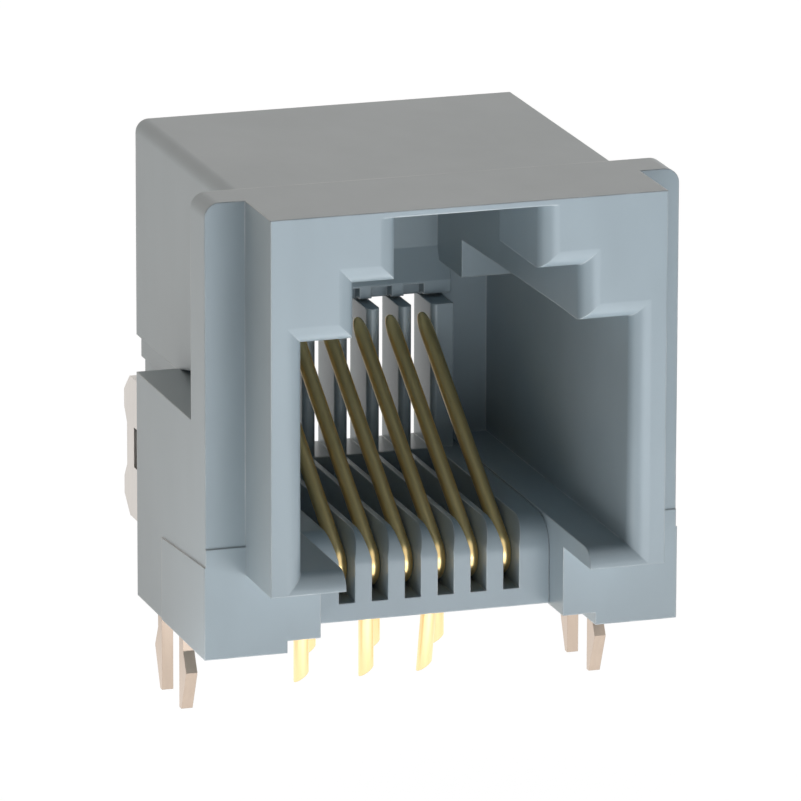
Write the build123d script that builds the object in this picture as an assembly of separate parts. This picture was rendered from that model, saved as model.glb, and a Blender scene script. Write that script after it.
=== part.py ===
from build123d import *

import os
from math import radians, tan

# Modular jack for a printed circuit board, with the plug entry level with the board.
# Millimetres. X runs across the jack, Y runs back from the plug entry and Z runs up.
# Depths below are measured back from the jack's front face and heights up from the board.
# The finished pieces are moved so that the origin lies on the board's top face, midway
# between the two board locks.

# Contact wires
contact_count = 6
contact_pitch = 1.02
wire_d = 0.46
contact_rise = 33.0
nose_bend_r = 0.50
tail_bend_r = 0.80
tail_length = 2.75
tail_cut = 0.33
rear_tail_inset = 3.21
tail_row_pitch = 2.54

# Contact insert: slotted floor with a tunnel under each slot, rounded nose, comb at the back
insert_board_gap = 0.42
insert_floor_t = 0.55
slot_gap = 0.02
slot_flare_w = 0.18
slot_flare_h = 0.75
run_lift = 0.34
bar_gap = 0.03
nose_edge_w = 0.936
nose_inset = 1.19
nose_r = 1.00
wire_inset = 0.53
rear_comb_t = 1.75
rear_slot_gap = 0.08
rear_edge_w = 0.68
tooth_edge_r = 0.17
comb_over_wire = 0.28
wire_seat = 0.15

# Housing: plug opening and the latch space above it
side_floor_w = 1.254
plug_floor_z = 3.05
rib_drop = 0.05
opening_h = 6.90
catch_w = 6.86
catch_h = 1.65
latch_w = 4.35
latch_h = 1.95
top_web = 0.18
catch_t = 3.83
shelf_under = 0.57
mouth_r = 0.55
roof_drop = 1.385
roof_t = 2.30
roof_fall = 0.21

# Housing: thicker band on the rear wall, with a notch over each contact
band_t = 0.35
band_h = 0.40
band_slope_h = 1.00
band_lift = 0.08
notch_w = 0.64
notch_h = 0.34
notch_in_wall = 0.10

# Housing: outer shape
side_wall = 1.03
bezel_d = 2.50
flange_t = 1.40
flange_lip = 1.23
flange_top_r = 0.45
body_step_side = 0.08
body_web = 0.25
body_step_top = 0.24
body_left_edge_r = 0.40
body_right_edge_r = 0.08
overall_d = 13.95
rear_wall_t = 0.55
wing_d = 7.00
wing_h = 6.91
foot_h = 0.37
foot_inset = 1.02
lower_relief_t = 0.27
lower_relief_top = 6.13
upper_relief_t = 0.15
upper_relief_top = 6.82
wedge_w = 0.50
wedge_tail = 0.27
wedge_slope = 12.5
pad_t = 0.04
front_pad_h = 3.35
side_pad_front_h = 2.81
side_pad_rear_h = 2.53
side_pad_d = 4.35

# Board locks: a stamped plate with two kinked legs on each side
lock_t = 0.35
lock_gap = 0.03
lock_skin = 0.64
lock_depth = 8.33
lock_top = 5.95
lock_bottom = 1.60
lock_front_reach = 1.70
lock_rear_reach = 4.80
lock_window_z = 3.20
lock_window_h = 1.25
lock_window_front = 1.50
lock_window_rear = 3.80
lock_waist = 0.30
leg_gap = 1.80
leg_w = 0.40
leg_kink_w = 0.72
leg_tip_w = 0.20
leg_bend_z = -1.10
leg_kink_z = -1.72
leg_tip_z = -2.95

# Clearances between pieces
insert_gap = 0.01
window_gap = 0.03

# Widths worked out from the contacts outwards
slot_w = wire_d + 2 * slot_gap
rear_slot_w = wire_d + 2 * rear_slot_gap
contact_span = (contact_count - 1) * contact_pitch
insert_w = contact_span + slot_w + 2 * nose_edge_w
rear_comb_w = contact_span + rear_slot_w + 2 * rear_edge_w
insert_pocket_w = insert_w + 2 * insert_gap
opening_w = insert_pocket_w + 2 * side_floor_w
bezel_w = opening_w + 2 * side_wall
flange_w = bezel_w + 2 * flange_lip
body_w = bezel_w - 2 * body_step_side
contact_places = [(i - (contact_count - 1) / 2) * contact_pitch for i in range(contact_count)]

# Depths worked out from the front face back
flange_back = bezel_d + flange_t
wing_back = bezel_d + wing_d
insert_front = bezel_d + nose_inset
rear_wall_front = overall_d - rear_wall_t
rear_comb_front = overall_d - rear_comb_t
free_end_depth = rear_comb_front + wire_seat

# Heights worked out from the board up
opening_top = plug_floor_z + opening_h
catch_top = opening_top + catch_h
latch_top = catch_top + latch_h
housing_top = latch_top + top_web
body_top = housing_top - body_step_top
rear_roof_z = opening_top - roof_drop
latch_ceiling = body_top - body_web
rib_top = plug_floor_z - rib_drop
slot_floor = insert_board_gap + insert_floor_t
run_z = slot_floor + run_lift
nose_z = run_z + nose_bend_r
bar_r = nose_bend_r - wire_d / 2 - bar_gap
shelf_bottom = plug_floor_z - shelf_under
foot_w = (flange_w - insert_pocket_w) / 2 - foot_inset

# Course of one contact wire's centre line: straight run, hairpin at the nose, rising beam
hairpin_depth = insert_front + wire_inset + wire_d / 2 + nose_bend_r
hairpin_turn = radians(180 - contact_rise)
hairpin_corner = hairpin_depth - nose_bend_r * tan(hairpin_turn / 2)
free_end_z = run_z + (free_end_depth - hairpin_corner) * tan(radians(contact_rise))
rear_comb_top = free_end_z + comb_over_wire
window_top = rear_comb_top + window_gap
band_bottom = window_top + band_lift

# Place of the board lock plates across the jack
lock_x = flange_w / 2 - lock_skin - lock_gap - lock_t / 2
lock_slot_w = lock_t + 2 * lock_gap

to_board = Pos(0, -lock_depth, 0)


def block(x, depth, z):
    """A box from three pairs of limits."""
    size = [high - low for low, high in (x, depth, z)]
    middle = [(low + high) / 2 for low, high in (x, depth, z)]
    return Pos(*middle) * Box(*size)


def across(width):
    """Limits of a width centred on the jack's middle plane."""
    return (-width / 2, width / 2)


def both_sides(piece):
    """The piece and its mirror image on the jack's other side."""
    return piece + mirror(piece, about=Plane.YZ)


def side_profile(points, x_limits):
    """A prism from an outline of (depth, height) points, between two X limits."""
    face = make_face(Plane.YZ * Polyline(*points, close=True))
    return Pos(x_limits[0], 0, 0) * extrude(face, amount=x_limits[1] - x_limits[0], dir=(1, 0, 0))


def front_profile(points, depth_limits):
    """A prism from an outline of (X, height) points, between two depths."""
    lifted = [(x, depth_limits[0], z) for x, z in points]
    face = make_face(Polyline(*lifted, close=True))
    return extrude(face, amount=depth_limits[1] - depth_limits[0], dir=(0, 1, 0))


def edges_along(shape, axis, test):
    """Edges of a shape that run along an axis and whose middle point passes a test."""
    return shape.edges().filter_by(axis).filter_by(lambda edge: test(edge.center()))


def is_at(value, target):
    return abs(value - target) < 0.001


def make_bezel():
    """The frame round the plug opening, open at the bottom between two short shelves."""
    opening = [
        (-opening_w / 2, plug_floor_z),
        (-opening_w / 2, opening_top),
        (-catch_w / 2, opening_top),
        (-catch_w / 2, catch_top),
        (-latch_w / 2, catch_top),
        (-latch_w / 2, latch_top),
        (latch_w / 2, latch_top),
        (latch_w / 2, catch_top),
        (catch_w / 2, catch_top),
        (catch_w / 2, opening_top),
        (opening_w / 2, opening_top),
        (opening_w / 2, plug_floor_z),
    ]
    frame = block(across(bezel_w), (0, bezel_d), (shelf_bottom, housing_top))
    frame -= front_profile(opening, (0, bezel_d))
    frame -= block(across(insert_pocket_w), (0, bezel_d), (shelf_bottom, plug_floor_z))
    mouth = frame.faces().sort_by(Axis.Y)[0].edges()
    rim = [edge for edge in mouth if on_mouth_rim(edge.center())]
    return fillet(rim, mouth_r)


def on_mouth_rim(point):
    """True for a front edge of the opening that is rounded: all but the thin web's edge."""
    inside = abs(point.X) < bezel_w / 2 - 0.01
    above_shelf = point.Z > plug_floor_z - 0.01
    below_web = point.Z < latch_top - 0.01
    return inside and above_shelf and below_web


def make_outside():
    """Flange, body, side wings and feet behind the bezel, still without their hollows."""
    flange = block(across(flange_w), (bezel_d, flange_back), (foot_h, housing_top))
    flange = fillet(
        edges_along(flange, Axis.Y, lambda c: is_at(c.Z, housing_top)), flange_top_r
    )
    body = block(across(body_w), (bezel_d, overall_d), (foot_h, body_top))
    top_edges = edges_along(body, Axis.Y, lambda c: is_at(c.Z, body_top)).sort_by(Axis.X)
    body = fillet(top_edges[0], body_left_edge_r)
    top_edges = edges_along(body, Axis.Y, lambda c: is_at(c.X, body_w / 2) and c.Z > wing_h)
    body = fillet(top_edges, body_right_edge_r)
    wing = block(across(flange_w), (bezel_d, wing_back), (foot_h, wing_h))
    foot_x = (flange_w / 2 - foot_w, flange_w / 2)
    foot = block(foot_x, (bezel_d - pad_t, wing_back), (0, foot_h))
    rear_foot_x = (foot_x[0], body_w / 2 - lower_relief_t)
    rear_foot = block(rear_foot_x, (wing_back, overall_d), (0, foot_h))
    return flange + body + wing + both_sides(foot + rear_foot + make_pads())


def make_pads():
    """The slightly raised lower faces at one front corner of the wings."""
    pad_front = bezel_d - pad_t
    pad_back = bezel_d + side_pad_d
    low_front_x = (insert_pocket_w / 2, flange_w / 2)
    front = block(low_front_x, (pad_front, bezel_d), (foot_h, shelf_bottom))
    high_front_x = (bezel_w / 2, flange_w / 2)
    front += block(high_front_x, (pad_front, bezel_d), (foot_h, front_pad_h))
    side_outline = [
        (pad_front, 0),
        (pad_back, 0),
        (pad_back, side_pad_rear_h),
        (pad_front, side_pad_front_h),
    ]
    return front + side_profile(side_outline, (flange_w / 2, flange_w / 2 + pad_t))


def make_wall_relief():
    """Material taken off one side wall: behind the wing, and a wedge above the wing's ledge."""
    outside = body_w / 2 + 1
    lower_x = (body_w / 2 - lower_relief_t, outside)
    lower = block(lower_x, (wing_back, overall_d + 1), (-1, lower_relief_top))
    slope = tan(radians(wedge_slope))
    level_start = wing_back + wedge_tail
    upper_outline = [
        (wing_back, lower_relief_top - 0.1),
        (overall_d + 1, lower_relief_top - 0.1),
        (overall_d + 1, upper_relief_top),
        (level_start, upper_relief_top),
        (wing_back, upper_relief_top + wedge_tail * slope),
    ]
    upper = side_profile(upper_outline, (body_w / 2 - upper_relief_t, outside))
    wedge_back = level_start - (wing_h - upper_relief_top) / slope
    wedge_top = wing_h + (wedge_back - flange_back) * slope
    wedge = [(flange_back, wing_h), (wedge_back, wing_h), (flange_back, wedge_top)]
    wedge_x = (body_w / 2 - wedge_w, body_w / 2 + 0.01)
    return lower + upper + side_profile(wedge, wedge_x)


def make_lock_slot():
    """Slot in a wing that takes the board lock, open to the back and to the board."""
    slot_x = (lock_x - lock_slot_w / 2, lock_x + lock_slot_w / 2)
    slot_depth = (lock_depth - lock_front_reach - lock_gap, wing_back + 1)
    return block(slot_x, slot_depth, (-1, lock_top + lock_gap))


def make_plug_cavity():
    """Room for the plug, its latch and the insert, back to the rear wall."""
    full_x = across(opening_w)
    cavity = block(full_x, (bezel_d, rear_wall_front), (plug_floor_z, rear_roof_z))
    under_roof = [
        (bezel_d, rear_roof_z),
        (bezel_d, opening_top),
        (rear_wall_front - roof_t, opening_top - roof_fall),
        (rear_wall_front - roof_t, rear_roof_z),
    ]
    cavity += side_profile(under_roof, full_x)
    cavity += block(across(catch_w), (bezel_d, rear_wall_front), (rear_roof_z, catch_top))
    cavity += block(across(catch_w), (catch_t, rear_wall_front), (catch_top, latch_ceiling))
    cavity += block(across(latch_w), (bezel_d, catch_t), (catch_top, latch_top))
    cavity += block(across(insert_pocket_w), (bezel_d, overall_d + 1), (-1, plug_floor_z))
    return cavity


def make_band():
    """The thicker band on the rear wall, over the comb, with a sloping top."""
    band_front = rear_wall_front - band_t
    outline = [
        (rear_wall_front, band_bottom),
        (band_front, band_bottom),
        (band_front, band_bottom + band_h),
        (rear_wall_front, band_bottom + band_h + band_slope_h),
    ]
    return side_profile(outline, across(insert_pocket_w))


def make_notch(x):
    """One notch in the band and a little way into the wall, over one contact."""
    notch_x = (x - notch_w / 2, x + notch_w / 2)
    notch_depth = (rear_wall_front - band_t - 1, rear_wall_front + notch_in_wall)
    return block(notch_x, notch_depth, (plug_floor_z, band_bottom + notch_h))


def make_housing():
    """The moulded shell: bezel, flange, body, wings and feet in one piece."""
    shell = make_outside() - make_plug_cavity()
    shell += make_bezel()
    shell += make_band()
    for x in contact_places:
        shell -= make_notch(x)
    window_depth = (rear_wall_front - 0.01, overall_d + 1)
    window_z = (plug_floor_z - 0.01, window_top)
    shell -= block(across(rear_comb_w + 2 * window_gap), window_depth, window_z)
    shell -= both_sides(make_wall_relief())
    shell -= both_sides(make_lock_slot())
    return shell


def make_wire_space(index):
    """Room for one wire in the insert: the slot, the tunnel under its bar, and the tail hole."""
    x = contact_places[index]
    tail = tail_depth(index)
    slot_x = (x - slot_w / 2, x + slot_w / 2)
    slot_depth = (insert_front - 1, rear_comb_front)
    slot = block(slot_x, slot_depth, (slot_floor, rib_top + 1))
    flare = [
        (slot_x[0], rib_top - slot_flare_h),
        (slot_x[1], rib_top - slot_flare_h),
        (slot_x[1] + 2 * slot_flare_w, rib_top + slot_flare_h),
        (slot_x[0] - 2 * slot_flare_w, rib_top + slot_flare_h),
    ]
    slot += front_profile(flare, slot_depth)
    bar_z = (nose_z - bar_r, nose_z + bar_r)
    slot -= block(slot_x, (hairpin_depth, rear_comb_front), bar_z)
    slot -= Pos(x, hairpin_depth, nose_z) * Rot(0, 90, 0) * Cylinder(bar_r, slot_w)
    slot -= block(slot_x, (tail + slot_w / 2, rear_comb_front), (slot_floor, nose_z))
    hole_depth = (tail - tail_bend_r, tail + slot_w / 2)
    return slot + block(slot_x, hole_depth, (-1, run_z))


def make_contact_insert():
    """The insulator under the plug: slotted floor with a rounded nose, and the rear comb."""
    floor_z = (insert_board_gap, rib_top)
    floor = block(across(insert_w), (insert_front, overall_d), floor_z)
    nose = edges_along(
        floor, Axis.X, lambda c: is_at(c.Z, rib_top) and is_at(c.Y, insert_front)
    )
    insert = fillet(nose, nose_r)
    for index in range(contact_count):
        insert -= make_wire_space(index)
    return insert + make_comb()


def make_comb():
    """The upright teeth at the back that keep the wires' ends apart, rounded in front."""
    comb_depth = (rear_comb_front, overall_d)
    comb_z = (rib_top, rear_comb_top)
    comb = block(across(rear_comb_w), comb_depth, comb_z)
    for x in contact_places:
        comb -= block((x - rear_slot_w / 2, x + rear_slot_w / 2), comb_depth, comb_z)
    slot_edges = edges_along(
        comb, Axis.Z, lambda c: is_at(c.Y, rear_comb_front) and abs(c.X) < rear_comb_w / 2 - 0.01
    )
    return fillet(slot_edges, tooth_edge_r)


def tail_depth(index):
    """Depth of a contact's tail: even contacts stand in the front row, odd ones behind."""
    rear_row = overall_d - rear_tail_inset
    return rear_row if index % 2 else rear_row - tail_row_pitch


def make_contact(index):
    """One round wire from its cut tail, under the floor, round the nose and up to the comb."""
    tail = tail_depth(index)
    course = [
        (0, tail, -tail_length),
        (0, tail, run_z),
        (0, hairpin_corner, run_z),
        (0, free_end_depth, free_end_z),
    ]
    path = FilletPolyline(*course, radius=[tail_bend_r, nose_bend_r])
    start = Plane(origin=course[0], z_dir=(0, 0, 1))
    wire = sweep(start * Circle(wire_d / 2), path=path)
    reach = wire_d
    cut = [
        (-reach, -tail_length - 0.01),
        (-wire_d / 2, -tail_length - 0.01),
        (wire_d / 2, -tail_length + tail_cut),
        (reach, -tail_length + tail_cut),
        (reach, -tail_length - 1),
        (-reach, -tail_length - 1),
    ]
    wire -= front_profile(cut, (tail - reach, tail + reach))
    return Pos(contact_places[index], 0, 0) * wire


def make_leg(side):
    """Outline of one leg from the plate down, kinked away from the other leg."""
    inner = lock_depth + side * leg_gap / 2
    return side_profile(
        [
            (inner, lock_bottom + 0.2),
            (inner + side * leg_w, lock_bottom + 0.2),
            (inner + side * leg_w, leg_bend_z),
            (inner + side * leg_kink_w, leg_kink_z),
            (inner + side * leg_tip_w, leg_tip_z),
            (inner, leg_tip_z),
        ],
        (-lock_t / 2, lock_t / 2),
    )


def make_board_lock():
    """A stamped plate that grips the wing, with a window behind it and two legs below."""
    front = lock_depth - lock_front_reach
    rear = lock_depth + lock_rear_reach
    lobe = (lock_top - lock_bottom) / 4
    outline = [
        (front, lock_bottom),
        (rear - 2 * lock_waist, lock_bottom),
        (rear, lock_bottom + lobe / 2),
        (rear, lock_bottom + lobe),
        (rear - lock_waist, lock_bottom + 1.4 * lobe),
        (rear - lock_waist, lock_top - 1.4 * lobe),
        (rear, lock_top - lobe),
        (rear, lock_top - lobe / 2),
        (rear - 2 * lock_waist, lock_top),
        (front, lock_top),
    ]
    plate = side_profile(outline, (-lock_t / 2, lock_t / 2))
    window = block(
        (-lock_t, lock_t),
        (lock_depth + lock_window_front, lock_depth + lock_window_rear),
        (lock_window_z, lock_window_z + lock_window_h),
    )
    return plate - window + make_leg(-1) + make_leg(1)


def save(name, piece):
    piece = to_board * piece
    piece.label = name
    export_step(piece, f"parts/{name}.step")


os.makedirs("parts", exist_ok=True)
save("housing", make_housing())
save("contact_insert", make_contact_insert())
for number in range(contact_count):
    save(f"contact_{number + 1}", make_contact(number))
save("board_lock_left", Pos(-lock_x, 0, 0) * make_board_lock())
save("board_lock_right", Pos(lock_x, 0, 0) * make_board_lock())
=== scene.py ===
# %% [markdown]
# # A modular jack, dressed for its portrait
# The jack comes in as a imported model: a moulded housing, an insert for the contacts, six
# formed wires and two stamped board locks. This lesson loads those parts, makes the wires
# anew with Geometry Nodes, and gives every part a finish.

# %% Load the jack
import math

import bpy
from mathutils import Matrix, Vector


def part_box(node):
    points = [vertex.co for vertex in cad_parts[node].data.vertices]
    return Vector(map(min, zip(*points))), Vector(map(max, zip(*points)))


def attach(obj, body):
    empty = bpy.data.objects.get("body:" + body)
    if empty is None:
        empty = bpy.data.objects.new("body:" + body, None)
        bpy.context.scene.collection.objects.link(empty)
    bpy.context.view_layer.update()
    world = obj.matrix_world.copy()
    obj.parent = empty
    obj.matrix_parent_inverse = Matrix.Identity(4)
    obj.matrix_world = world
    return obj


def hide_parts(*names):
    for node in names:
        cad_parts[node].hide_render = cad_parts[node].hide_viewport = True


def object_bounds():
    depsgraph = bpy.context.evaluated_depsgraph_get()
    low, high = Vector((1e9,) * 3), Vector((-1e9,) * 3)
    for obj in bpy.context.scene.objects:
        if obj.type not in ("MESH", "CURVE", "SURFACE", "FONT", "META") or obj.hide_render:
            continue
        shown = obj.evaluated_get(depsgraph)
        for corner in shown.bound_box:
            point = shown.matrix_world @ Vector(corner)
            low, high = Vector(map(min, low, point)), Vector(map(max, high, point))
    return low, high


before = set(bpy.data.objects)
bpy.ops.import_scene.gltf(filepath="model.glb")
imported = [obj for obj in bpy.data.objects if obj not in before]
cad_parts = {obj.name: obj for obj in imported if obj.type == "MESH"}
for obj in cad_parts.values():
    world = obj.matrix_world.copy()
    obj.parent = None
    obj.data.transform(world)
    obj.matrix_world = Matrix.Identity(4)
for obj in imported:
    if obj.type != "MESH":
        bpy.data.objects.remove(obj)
cad_low, cad_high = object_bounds()
scene = bpy.context.scene
MM = 0.001
print("parts:", ", ".join(sorted(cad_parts)))
print("size in mm:", [round((high - low) / MM, 2) for low, high in zip(cad_low, cad_high)])

# %% [markdown]
# ## The camera
# The picture was taken from a little above and from the left, with a long lens, so the
# jack's edges hardly converge. The camera circles a point inside the jack at a known
# distance, and its lens is given as a focal length in pixels of the frame.

# %% Place the camera
AZIMUTH = math.radians(-18.052)
ELEVATION = math.radians(15.386)
ROLL = math.radians(0.16)
DISTANCE = 272.495 * MM
AIM = Vector((-0.158, -2.33, 6.356)) * MM
SENSOR = 36.0
FOCAL_IN_PIXELS = 9213.2
FRAME_IN_PIXELS = 801
NEAREST_SEEN = 0.01
FARTHEST_SEEN = 20.0

backward = Vector(
    (
        math.sin(AZIMUTH) * math.cos(ELEVATION),
        -math.cos(AZIMUTH) * math.cos(ELEVATION),
        math.sin(ELEVATION),
    )
)
camera_data = bpy.data.cameras.new("portrait_camera")
camera_data.sensor_width = SENSOR
camera_data.lens = FOCAL_IN_PIXELS / FRAME_IN_PIXELS * SENSOR
camera_data.clip_start = NEAREST_SEEN
camera_data.clip_end = FARTHEST_SEEN
camera = bpy.data.objects.new("portrait_camera", camera_data)
scene.collection.objects.link(camera)
aimed = backward.to_track_quat("Z", "Y").to_matrix().to_4x4()
camera.matrix_world = (
    Matrix.Translation(AIM + backward * DISTANCE) @ aimed @ Matrix.Rotation(ROLL, 4, "Z")
)
scene.camera = camera
print("lens in mm:", round(camera_data.lens, 1))

# %% [markdown]
# ## Helpers for nodes and finishes
# Every finish below is a small tree of nodes, and so is the machine that draws the wires.
# The first helper adds a node and sets its values. The next ones add the kinds of node that
# come back often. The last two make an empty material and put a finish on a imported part.

# %% A few small helpers
WHITE = (1.0, 1.0, 1.0, 1.0)


def add(tree, kind, inputs=None, **settings):
    """Adds a node, sets its properties, and fills or links its inputs by name or number."""
    node = tree.nodes.new(kind)
    for name, value in settings.items():
        setattr(node, name, value)
    for name, value in (inputs or {}).items():
        if isinstance(value, bpy.types.NodeSocket):
            tree.links.new(value, node.inputs[name])
        else:
            node.inputs[name].default_value = value
    return node


def worked_out(tree, first, second, operation="ADD"):
    """The result of one Math node."""
    node = add(tree, "ShaderNodeMath", {0: first, 1: second}, operation=operation)
    return node.outputs["Value"]


def noise(tree, place, scale, detail, roughness=0.5):
    """Soft random values round a half, finer where the scale is higher."""
    sizes = {"Vector": place, "Scale": scale, "Detail": detail, "Roughness": roughness}
    return add(tree, "ShaderNodeTexNoise", sizes).outputs["Fac"]


def stretched(tree, place, scale):
    """A place whose three axes are scaled on their own."""
    return add(tree, "ShaderNodeMapping", {"Vector": place, "Scale": scale}).outputs["Vector"]


def in_range(tree, value, limits):
    """A value moved from one range to another, both nought to one unless given."""
    return add(tree, "ShaderNodeMapRange", {"Value": value, **limits}).outputs["Result"]


def mixed_colour(tree, factor, first, second, blend="MIX"):
    """Two colours mixed or blended by a factor."""
    colours = {"Factor": factor, "A": first, "B": second}
    node = add(tree, "ShaderNodeMix", colours, data_type="RGBA", blend_type=blend)
    return node.outputs["Result"]


def new_finish(name):
    """A material with only an output, ready for its nodes."""
    material = bpy.data.materials.new(name)
    material.use_nodes = True
    material.node_tree.nodes.clear()
    output = add(material.node_tree, "ShaderNodeOutputMaterial")
    return material, material.node_tree, output


def wear(node_name, material):
    """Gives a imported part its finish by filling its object's material slots."""
    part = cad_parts[node_name]
    if not part.material_slots:
        part.data.materials.append(material)
    for part_slot in part.material_slots:
        part_slot.link = "OBJECT"
        part_slot.material = material


# %% [markdown]
# ## Moulded plastic
# The housing and the insert are a filled thermoplastic, blue-grey and satin. Real
# mouldings are never quite even: the colour drifts a little with the flow of the melt, fine
# flow lines run along the walls, and the tool leaves a slight grain. Three noises do this,
# each at its own scale, and a bevel in the normal softens the moulded edges. Where that
# bevel turns the normal away from the flat face there is an edge, and there the plastic is
# painted paler in patches: partly rubbed wear, partly a painted highlight along the edge.

# %% The plastic's finish
MOULDED_EDGE = 0.06 * MM
# The pale colour of the edges: partly rubbed wear, partly a painted highlight.
WEAR_AND_HIGHLIGHT_PALE = (0.72, 0.75, 0.76, 1.0)
GRAIN_DEPTH = 0.01 * MM


def make_plastic(name, dark, pale):
    """Satin moulded plastic that drifts between two close shades."""
    material, tree, output = new_finish(name)
    place = add(tree, "ShaderNodeTexCoord").outputs["Object"]
    drift = noise(tree, place, 200.0, 4.0, roughness=0.6)
    flow = noise(tree, stretched(tree, place, (700.0, 500.0, 260.0)), 1.0, 2.0)
    grain = noise(tree, place, 9000.0, 3.0, roughness=0.7)
    both = worked_out(tree, drift, flow)
    amount = in_range(tree, both, {"From Min": 0.75, "From Max": 1.25})
    colour = mixed_colour(tree, amount, dark, pale)
    edge = add(tree, "ShaderNodeBevel", {"Radius": MOULDED_EDGE}, samples=6).outputs["Normal"]
    flat = add(tree, "ShaderNodeNewGeometry").outputs["True Normal"]
    turned = add(tree, "ShaderNodeVectorMath", {0: edge, 1: flat}, operation="DOT_PRODUCT")
    # Paler edges in patches: partly rubbed wear, partly a painted edge highlight.
    wear_and_highlight_edge = in_range(tree, turned.outputs["Value"], {"From Min": 0.985, "From Max": 0.9})
    patchy = in_range(tree, flow, {"From Min": 0.35, "From Max": 0.6, "To Max": 0.8})
    wear_and_highlight_amount = worked_out(tree, wear_and_highlight_edge, patchy, "MULTIPLY")
    bump = add(
        tree,
        "ShaderNodeBump",
        {"Strength": 0.08, "Distance": GRAIN_DEPTH, "Height": grain, "Normal": edge},
    )
    shader = add(
        tree,
        "ShaderNodeBsdfPrincipled",
        {
            "Base Color": mixed_colour(tree, wear_and_highlight_amount, colour, WEAR_AND_HIGHLIGHT_PALE),
            "Roughness": in_range(tree, drift, {"To Min": 0.28, "To Max": 0.4}),
            "Normal": bump.outputs["Normal"],
            "IOR": 1.5,
        },
    )
    tree.links.new(shader.outputs["BSDF"], output.inputs["Surface"])
    return material


housing_plastic = make_plastic(
    "housing_plastic", dark=(0.318, 0.38, 0.414, 1.0), pale=(0.342, 0.41, 0.446, 1.0)
)
insert_plastic = make_plastic(
    "insert_plastic", dark=(0.306, 0.366, 0.4, 1.0), pale=(0.33, 0.395, 0.43, 1.0)
)
wear("housing", housing_plastic)
wear("contact_insert", insert_plastic)
print("plastics:", housing_plastic.name, "and", insert_plastic.name)

# %% [markdown]
# ## Metal finishes
# The wires are bronze with a bright gold plating, smooth from drawing, with hair-fine
# lines along the wire. The board locks are stamped from strip and tinned: satin, slightly
# pink, and streaked along the strip. Both are metallic shaders whose roughness is uneven.
# Below the board's face the tails are a cooler gold and the locks' legs a browner tin, so
# the colour is multiplied there by a tone, which fades in over a short height.

# %% The metals' finishes
CUT_EDGE = 0.03 * MM
LINE_DEPTH = 0.004 * MM
TONE_FROM = 0.5 * MM
TONE_TO = -0.2 * MM


def make_metal(name, dark, pale, tone_below, roughness, streaks):
    """Metal whose colour and roughness vary in streaks, with a tone below the board."""
    material, tree, output = new_finish(name)
    place = add(tree, "ShaderNodeTexCoord").outputs["Object"]
    lines = noise(tree, stretched(tree, place, streaks), 1.0, 3.0)
    streaked = mixed_colour(tree, lines, dark, pale)
    height = add(tree, "ShaderNodeSeparateXYZ", {"Vector": place}).outputs["Z"]
    below = in_range(tree, height, {"From Min": TONE_FROM, "From Max": TONE_TO})
    smoothest, roughest = roughness
    edge = add(tree, "ShaderNodeBevel", {"Radius": CUT_EDGE}, samples=6).outputs["Normal"]
    bump = add(
        tree,
        "ShaderNodeBump",
        {"Strength": 0.06, "Distance": LINE_DEPTH, "Height": lines, "Normal": edge},
    )
    shader = add(
        tree,
        "ShaderNodeBsdfPrincipled",
        {
            "Base Color": mixed_colour(tree, below, streaked, tone_below, "MULTIPLY"),
            "Metallic": 1.0,
            "Roughness": in_range(tree, lines, {"To Min": smoothest, "To Max": roughest}),
            "Normal": bump.outputs["Normal"],
        },
    )
    tree.links.new(shader.outputs["BSDF"], output.inputs["Surface"])
    return material


contact_gold = make_metal(
    "contact_gold",
    dark=(0.87, 0.62, 0.25, 1.0),
    pale=(0.97, 0.74, 0.38, 1.0),
    tone_below=(1.0, 1.03, 1.2, 1.0),
    roughness=(0.26, 0.38),
    streaks=(6000.0, 500.0, 500.0),
)
lock_metal = make_metal(
    "lock_metal",
    dark=(0.56, 0.52, 0.49, 1.0),
    pale=(0.7, 0.67, 0.63, 1.0),
    tone_below=(0.8, 0.69, 0.6, 1.0),
    roughness=(0.28, 0.46),
    streaks=(6000.0, 6000.0, 700.0),
)
wear("board_lock_left", lock_metal)
wear("board_lock_right", lock_metal)
print("metals:", contact_gold.name, "and", lock_metal.name)

# %% [markdown]
# ## The contact wires
# Each wire is one length of round wire. It stands up from the board as a tail, runs
# forward under the insert, turns back round the nose and rises to the comb as a springy
# beam. All six share one course, and only the tail's place differs between the two rows.
# Geometry Nodes suit this well: four points, rounded corners, a round section swept along,
# and copies set at the contact pitch.

# %% Sizes of the wires
WIRE_RADIUS = 0.23 * MM
PITCH = 1.02 * MM
FRONT_TAIL_Y = -0.13 * MM
REAR_TAIL_Y = 2.41 * MM
STEPS_IN_A_BEND = 18
SIDES_OF_THE_WIRE = 24
WIRE_SIZES = {
    "Wire Radius": WIRE_RADIUS,
    "Tail Bend": 0.8 * MM,
    "Nose Bend": 0.5 * MM,
    "Tip Height": -2.75 * MM,
    "Run Height": 1.31 * MM,
    "Turn Y": -5.068 * MM,
    "End Y": 4.02 * MM,
    "End Height": 7.212 * MM,
    "Cut Height": 0.33 * MM,
    "Ring Spacing": 0.08 * MM,
    "Point Length": 0.9 * MM,
    "Point Width": 0.25,
}
packed_low, packed_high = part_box("contact_1")
print("a packed wire spans", [round((b - a) / MM, 3) for a, b in zip(packed_low, packed_high)])

# %% [markdown]
# A node group is a small machine with labelled inputs. The first one draws a single wire in
# the middle of the jack. Its four points come from the sizes above, and Fillet Curve rounds
# the two corners between them. The corner at the tail is wider than the one at the nose, so
# the radius depends on which point it is.

# %% A group with labelled inputs


def new_group(name, sizes):
    """A geometry group with one number input for each name, and a geometry output."""
    group = bpy.data.node_groups.new(name, "GeometryNodeTree")
    for label in sizes:
        group.interface.new_socket(label, in_out="INPUT", socket_type="NodeSocketFloat")
    group.interface.new_socket("Geometry", in_out="OUTPUT", socket_type="NodeSocketGeometry")
    start = add(group, "NodeGroupInput").outputs
    end = add(group, "NodeGroupOutput").inputs
    return group, start, end


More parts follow.
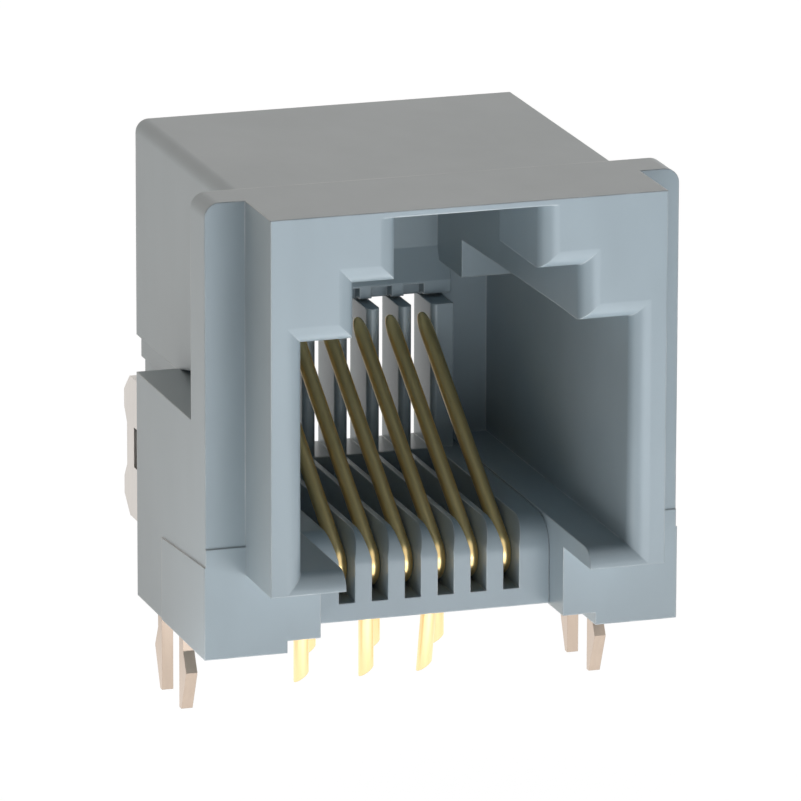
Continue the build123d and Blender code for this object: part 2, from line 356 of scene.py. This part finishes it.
# %% The group that draws one wire
one_wire, size, drawn = new_group("one_wire", ["Tail Y", *WIRE_SIZES])
corners = [
    (size["Tail Y"], size["Tip Height"]),
    (size["Tail Y"], size["Run Height"]),
    (size["Turn Y"], size["Run Height"]),
    (size["End Y"], size["End Height"]),
]
line = add(one_wire, "GeometryNodeMeshLine", {"Count": len(corners)})
index = add(one_wire, "GeometryNodeInputIndex").outputs["Index"]
choice = add(one_wire, "GeometryNodeIndexSwitch", data_type="VECTOR")
while len(choice.index_switch_items) < len(corners):
    choice.index_switch_items.new()
one_wire.links.new(index, choice.inputs["Index"])
for number, (y, z) in enumerate(corners):
    point = add(one_wire, "ShaderNodeCombineXYZ", {"Y": y, "Z": z})
    one_wire.links.new(point.outputs["Vector"], choice.inputs[number + 1])
placed = add(
    one_wire,
    "GeometryNodeSetPosition",
    {"Geometry": line.outputs["Mesh"], "Position": choice.outputs["Output"]},
)
course = add(one_wire, "GeometryNodeMeshToCurve", {"Mesh": placed.outputs["Geometry"]})
is_at_tail = worked_out(one_wire, index, 1.5, "LESS_THAN")
tail_extra = worked_out(one_wire, size["Tail Bend"], size["Nose Bend"], "SUBTRACT")
extra_here = worked_out(one_wire, is_at_tail, tail_extra, "MULTIPLY")
bend = worked_out(one_wire, size["Nose Bend"], extra_here)
rounded = add(
    one_wire,
    "GeometryNodeFilletCurve",
    {"Curve": course.outputs["Curve"], "Radius": bend, "Count": STEPS_IN_A_BEND},
    mode="POLY",
)
even = add(
    one_wire,
    "GeometryNodeResampleCurve",
    {"Curve": rounded.outputs["Curve"], "Length": size["Ring Spacing"]},
    mode="LENGTH",
)
print("corners of the course:", len(corners))

# %% [markdown]
# The wire's free end is nosed, so that a plug slides over it. The section is scaled down
# over the last stretch by a quarter ellipse: t runs from nought at the end to one where the
# nose begins, and the scale is the end's width plus the rest times the root of 1 - (1 - t)².

# %% The nosed end, and the sweep
whole = add(one_wire, "GeometryNodeSplineLength").outputs["Length"]
walked = add(one_wire, "GeometryNodeSplineParameter").outputs["Length"]
left_over = worked_out(one_wire, whole, walked, "SUBTRACT")
in_noses = worked_out(one_wire, left_over, size["Point Length"], "DIVIDE")
to_go = worked_out(one_wire, in_noses, 1.0, "MINIMUM")
inward = worked_out(one_wire, 1.0, to_go, "SUBTRACT")
squared = worked_out(one_wire, inward, 2.0, "POWER")
arc = worked_out(one_wire, worked_out(one_wire, 1.0, squared, "SUBTRACT"), 0.5, "POWER")
rest = worked_out(one_wire, 1.0, size["Point Width"], "SUBTRACT")
rounding = worked_out(one_wire, rest, arc, "MULTIPLY")
width = worked_out(one_wire, size["Point Width"], rounding)
section = add(
    one_wire,
    "GeometryNodeCurvePrimitiveCircle",
    {"Resolution": SIDES_OF_THE_WIRE, "Radius": size["Wire Radius"]},
)
swept = add(
    one_wire,
    "GeometryNodeCurveToMesh",
    {
        "Curve": even.outputs["Curve"],
        "Profile Curve": section.outputs["Curve"],
        "Scale": width,
        "Fill Caps": True,
    },
)
print("nodes so far:", len(one_wire.nodes))

# %% [markdown]
# The tail's end was cut on the slant. The last ring is lifted in step with its X, from
# nothing at the left of the wire to the cut's full height at the right. The rings above it
# are lifted less and less, up to twice the cut's height, so that none of them is overtaken.
# The two flat ends stay sharp, and the rest is shaded smooth: only an end's face has more
# than four corners.

# %% The slanted cut, and smooth shading
place = add(one_wire, "GeometryNodeInputPosition").outputs["Position"]
where = add(one_wire, "ShaderNodeSeparateXYZ", {"Vector": place}).outputs
above_tip = worked_out(one_wire, where["Z"], size["Tip Height"], "SUBTRACT")
cut_reach = worked_out(one_wire, size["Cut Height"], 2.0, "MULTIPLY")
in_reaches = worked_out(one_wire, above_tip, cut_reach, "DIVIDE")
far_up = worked_out(one_wire, in_reaches, 1.0, "MINIMUM")
fade = worked_out(one_wire, 1.0, far_up, "SUBTRACT")
across = worked_out(one_wire, where["X"], size["Wire Radius"])
wire_width = worked_out(one_wire, size["Wire Radius"], 2.0, "MULTIPLY")
share = worked_out(one_wire, across, wire_width, "DIVIDE")
full_lift = worked_out(one_wire, share, size["Cut Height"], "MULTIPLY")
lift = worked_out(one_wire, full_lift, fade, "MULTIPLY")
upwards = add(one_wire, "ShaderNodeCombineXYZ", {"Z": lift})
cut = add(
    one_wire,
    "GeometryNodeSetPosition",
    {"Geometry": swept.outputs["Mesh"], "Offset": upwards.outputs["Vector"]},
)
sides = add(one_wire, "GeometryNodeInputMeshFaceNeighbors").outputs["Vertex Count"]
is_side = worked_out(one_wire, sides, 5.0, "LESS_THAN")
smooth = add(
    one_wire,
    "GeometryNodeSetShadeSmooth",
    {"Geometry": cut.outputs["Geometry"], "Shade Smooth": is_side},
)
one_wire.links.new(smooth.outputs["Geometry"], drawn["Geometry"])
print("nodes of one wire:", len(one_wire.nodes))

# %% [markdown]
# The second group repeats the wire. The contacts stand at one pitch, but their tails
# alternate between two rows, so each row is a line of copies two pitches apart, and the
# second row starts one pitch along. Realize Instances turns the copies into real mesh, and
# at the end Set Material gives them their gold.

# %% The group that repeats it
row_sizes = {
    "Pitch": PITCH,
    "Front Tail Y": FRONT_TAIL_Y,
    "Rear Tail Y": REAR_TAIL_Y,
    "Bent Tail X": 1.5 * PITCH,
    "Lean": 0.08,
}
WIRES_IN_A_ROW = 3
FIRST_PLACES = {"Front Tail Y": -2.5, "Rear Tail Y": -1.5}
wire_rows, size, drawn = new_group("wire_rows", [*row_sizes, *WIRE_SIZES])
joined = add(wire_rows, "GeometryNodeJoinGeometry")
step = worked_out(wire_rows, size["Pitch"], 2.0, "MULTIPLY")
onwards = add(wire_rows, "ShaderNodeCombineXYZ", {"X": step})
for tail, first_place in FIRST_PLACES.items():
    wire = add(wire_rows, "GeometryNodeGroup", node_tree=one_wire)
    wire_rows.links.new(size[tail], wire.inputs["Tail Y"])
    for label in WIRE_SIZES:
        wire_rows.links.new(size[label], wire.inputs[label])
    first_x = worked_out(wire_rows, size["Pitch"], first_place, "MULTIPLY")
    first = add(wire_rows, "ShaderNodeCombineXYZ", {"X": first_x})
    places = add(
        wire_rows,
        "GeometryNodeMeshLine",
        {
            "Count": WIRES_IN_A_ROW,
            "Start Location": first.outputs["Vector"],
            "Offset": onwards.outputs["Vector"],
        },
    )
    row = add(
        wire_rows,
        "GeometryNodeInstanceOnPoints",
        {"Points": places.outputs["Mesh"], "Instance": wire.outputs["Geometry"]},
    )
    wire_rows.links.new(row.outputs["Instances"], joined.inputs["Geometry"])
real = add(
    wire_rows, "GeometryNodeRealizeInstances", {"Geometry": joined.outputs["Geometry"]}
)
print("rows:", len(FIRST_PLACES), "of", WIRES_IN_A_ROW, "wires")

# %% [markdown]
# Handling has bent one tail a little to the left. Once the copies are real mesh, that
# tail's points can be picked by their place: near its X, and below the board's face. They
# are moved sideways in step with their height.

# %% The bent tail, and the gold
place = add(wire_rows, "GeometryNodeInputPosition").outputs["Position"]
where = add(wire_rows, "ShaderNodeSeparateXYZ", {"Vector": place}).outputs
beside = worked_out(wire_rows, where["X"], size["Bent Tail X"], "SUBTRACT")
off_x = worked_out(wire_rows, beside, 0.0, "ABSOLUTE")
half_pitch = worked_out(wire_rows, size["Pitch"], 0.5, "MULTIPLY")
is_near = worked_out(wire_rows, off_x, half_pitch, "LESS_THAN")
is_below = worked_out(wire_rows, where["Z"], 0.0, "LESS_THAN")
leaning = worked_out(wire_rows, where["Z"], size["Lean"], "MULTIPLY")
sideways = add(wire_rows, "ShaderNodeCombineXYZ", {"X": leaning})
bent = add(
    wire_rows,
    "GeometryNodeSetPosition",
    {
        "Geometry": real.outputs["Geometry"],
        "Selection": worked_out(wire_rows, is_near, is_below, "MULTIPLY"),
        "Offset": sideways.outputs["Vector"],
    },
)
gilded = add(
    wire_rows,
    "GeometryNodeSetMaterial",
    {"Geometry": bent.outputs["Geometry"], "Material": contact_gold},
)
wire_rows.links.new(gilded.outputs["Geometry"], drawn["Geometry"])
print("nodes of the rows:", len(wire_rows.nodes))

# %% [markdown]
# A group does nothing until a modifier runs it. The modifier's inputs are reached by their
# identifiers, which are looked up from their labels. The evaluated result is then kept as a
# plain mesh.

# %% Run the group and keep its mesh


def keep_result(name, group, values, finish):
    """Runs a geometry group on an empty mesh and returns its result as a plain object."""
    carrier = bpy.data.objects.new(name, bpy.data.meshes.new(name))
    scene.collection.objects.link(carrier)
    modifier = carrier.modifiers.new(name, "NODES")
    modifier.node_group = group
    for item in group.interface.items_tree:
        if item.in_out == "INPUT" and item.name in values:
            modifier[item.identifier] = values[item.name]
    bpy.context.view_layer.update()
    evaluated = carrier.evaluated_get(bpy.context.evaluated_depsgraph_get())
    mesh = bpy.data.meshes.new_from_object(evaluated)
    carrier.modifiers.remove(modifier)
    carrier.data = mesh
    mesh.materials.clear()
    mesh.materials.append(finish)
    print(name, "has", len(mesh.polygons), "faces")
    return carrier


contact_wires = keep_result(
    "contact_wires", wire_rows, {**row_sizes, **WIRE_SIZES}, contact_gold
)
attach(contact_wires, "root")
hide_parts(*[f"contact_{number}" for number in range(1, 7)])

# %% [markdown]
# ## The floor and the light
# The picture has a plain white ground. The floor is pale and mostly gives its own white to
# the camera and to reflections, which leaves the jack a faint shadow to stand on. Its glow
# is a little over one, to make up for the tenth that the matte white has in the mix.

# %% Lay the floor
FLOOR_MATTE = (0.85, 0.85, 0.85, 1.0)
FLOOR_GLOW = 1.09
GLOW_SHARE = 0.9
FLOOR_REACH = 1.5
FLOOR_GAP = 0.01 * MM


def seen_or_mirrored(tree):
    """One where a ray comes from the camera or a reflection, nought elsewhere."""
    path = add(tree, "ShaderNodeLightPath").outputs
    return worked_out(tree, path["Is Camera Ray"], path["Is Glossy Ray"], "MAXIMUM")


floor_white, tree, output = new_finish("floor_white")
matte = add(tree, "ShaderNodeBsdfDiffuse", {"Color": FLOOR_MATTE})
glow = add(tree, "ShaderNodeEmission", {"Color": WHITE, "Strength": FLOOR_GLOW})
part_glow = worked_out(tree, seen_or_mirrored(tree), GLOW_SHARE, "MULTIPLY")
both = add(
    tree,
    "ShaderNodeMixShader",
    {"Fac": part_glow, 1: matte.outputs["BSDF"], 2: glow.outputs["Emission"]},
)
tree.links.new(both.outputs["Shader"], output.inputs["Surface"])

floor_z = cad_low[2] - FLOOR_GAP
floor_corners = [
    (-FLOOR_REACH, -FLOOR_REACH, floor_z),
    (FLOOR_REACH, -FLOOR_REACH, floor_z),
    (FLOOR_REACH, FLOOR_REACH, floor_z),
    (-FLOOR_REACH, FLOOR_REACH, floor_z),
]
floor_mesh = bpy.data.meshes.new("floor")
floor_mesh.from_pydata(floor_corners, [], [(0, 1, 2, 3)])
floor_mesh.materials.append(floor_white)
floor = bpy.data.objects.new("floor", floor_mesh)
scene.collection.objects.link(floor)
print("the floor lies at", round(floor_z / MM, 2), "mm")

# %% [markdown]
# Round the jack stands a studio room. Its walls and ceiling glow softly, each in its own
# shade, and each fades with the angle away from it: the share is the cosine to a power,
# low for the broad back wall and higher for the others. The camera and the reflections
# see plain white.

# %% Set the world
ROOM = {
    "left": ((-1, 0, 0), 4.0, (0.55, 0.52, 0.5)),
    "right": ((1, 0, 0), 4.0, (1.2, 1.2, 1.2)),
    "back": ((0, 1, 0), 2.0, (1.8, 1.54, 1.29)),
    "front": ((0, -1, 0), 4.0, (0.06, 0.06, 0.06)),
    "top": ((0, 0, 1), 4.0, (0.1, 0.1, 0.1)),
}
world = bpy.data.worlds.new("white_studio")
world.use_nodes = True
scene.world = world
tree = world.node_tree
tree.nodes.clear()
output = add(tree, "ShaderNodeOutputWorld")
direction = add(tree, "ShaderNodeTexCoord").outputs["Generated"]
room_light = (0.0, 0.0, 0.0)
for wall, (facing, sharpness, colour) in ROOM.items():
    towards = add(
        tree, "ShaderNodeVectorMath", {0: direction, 1: facing}, operation="DOT_PRODUCT"
    )
    ahead = worked_out(tree, towards.outputs["Value"], 0.0, "MAXIMUM")
    share = worked_out(tree, ahead, sharpness, "POWER")
    part = add(tree, "ShaderNodeVectorMath", {0: colour, "Scale": share}, operation="SCALE")
    total = add(
        tree,
        "ShaderNodeVectorMath",
        {0: room_light, 1: part.outputs["Vector"]},
        operation="ADD",
    )
    room_light = total.outputs["Vector"]
shown = mixed_colour(tree, seen_or_mirrored(tree), room_light, WHITE)
sky = add(tree, "ShaderNodeBackground", {"Color": shown, "Strength": 1.0})
tree.links.new(sky.outputs["Background"], output.inputs["Surface"])
print("walls of the room:", ", ".join(ROOM))

# %% [markdown]
# The picture's main light comes from below the horizon: a light table glows in front of
# the jack. It reaches up into the opening and leaves everything that looks upwards dark.
# Each field of the table is an area lamp that lies face up on the floor, unseen by the
# camera. A lamp's power is its brightness times pi times its area.

# %% Light the table
TABLE_FIELDS = {
    "under": ((-9.0, 9.0), (-4.5, 8.0), (0.35, 0.35, 0.35)),
    "left": ((-60.0, -20.0), (-17.0, 20.0), (0.75, 0.68, 0.62)),
    "near_left": ((-16.0, -7.0), (-16.0, -5.0), (2.6, 2.65, 2.7)),
    "near": ((-5.0, 5.0), (-15.0, -4.5), (1.35, 1.35, 1.38)),
    "near_right": ((6.0, 15.0), (-16.0, -5.0), (1.3, 1.3, 1.32)),
    "middle": ((-2.0, 13.0), (-30.0, -17.0), (2.7, 2.75, 2.85)),
    "far": ((-14.0, 18.0), (-60.0, -30.0), (4.0, 4.4, 4.7)),
    "farthest": ((-33.0, 33.0), (-150.0, -60.0), (3.2, 3.45, 3.75)),
}
LAMP_LIFT = 0.005 * MM


def light_field(name, across, along, colour):
    """A glowing field of the table, between two X and two Y in millimetres."""
    data = bpy.data.lights.new(name, "AREA")
    data.shape = "RECTANGLE"
    data.size = (across[1] - across[0]) * MM
    data.size_y = (along[1] - along[0]) * MM
    data.energy = math.pi * data.size * data.size_y
    data.color = colour
    lamp = bpy.data.objects.new(name, data)
    lamp.location = (sum(across) / 2 * MM, sum(along) / 2 * MM, floor_z + LAMP_LIFT)
    lamp.rotation_euler = (math.pi, 0.0, 0.0)
    lamp.visible_camera = False
    scene.collection.objects.link(lamp)


for name, (across, along, colour) in TABLE_FIELDS.items():
    light_field("table_" + name, across, along, colour)
scene.view_settings.view_transform = "Standard"
print("glowing fields:", len(TABLE_FIELDS))
